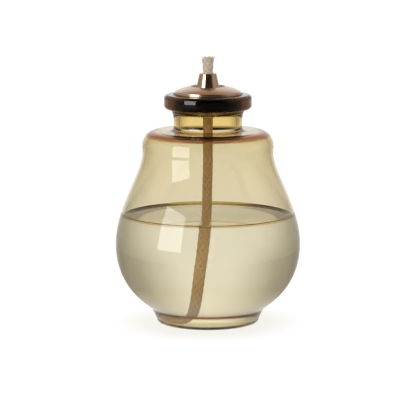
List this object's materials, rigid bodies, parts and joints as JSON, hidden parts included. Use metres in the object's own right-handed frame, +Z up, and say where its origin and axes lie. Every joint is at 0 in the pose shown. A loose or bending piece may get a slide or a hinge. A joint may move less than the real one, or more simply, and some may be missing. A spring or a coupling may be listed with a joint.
{
  "type": "oil lamp",
  "caption": "Round glass oil lamp with a thick lip, a push-in metal burner cap with a cone nozzle, and a braided rope wick that reaches down into pale oil.",
  "frame": {"origin": "middle of the base, on the surface the lamp stands on", "axes": "+Z up along the bottle's axis, -Y towards the front, +X to the right seen from the front"},
  "size_m": [0.059, 0.059, 0.0849],
  "materials": {
    "amber_glass": "gloss",
    "oil": "gloss",
    "black_silicone": "satin",
    "rose_brass": "satin",
    "nozzle_metal": "polished",
    "washer_steel": "satin",
    "nut_brass": "satin",
    "wick_cotton": "matte"
  },
  "bodies": {
    "bottle": {"glass_bottle": "amber_glass", "lamp_oil": "oil"},
    "burner": {"neck_seal": "black_silicone", "burner_cap": "rose_brass", "wick_nozzle": "nozzle_metal", "nozzle_washer": "washer_steel", "nozzle_nut": "nut_brass"},
    "wick": {"wick": "wick_cotton"}
  },
  "joints": [
    {"name": "burner_lift", "type": "slide", "parent": "bottle", "child": "burner", "axis": [0, 0, 1], "range_m": [0, 0.085], "deforming": ["wick", "lamp_oil"]},
    {"name": "wick_slide", "type": "slide", "parent": "burner", "child": "wick", "axis": [0, 0, 1], "range_m": [0, 0.008], "deforming": ["wick", "lamp_oil"]}
  ]
}
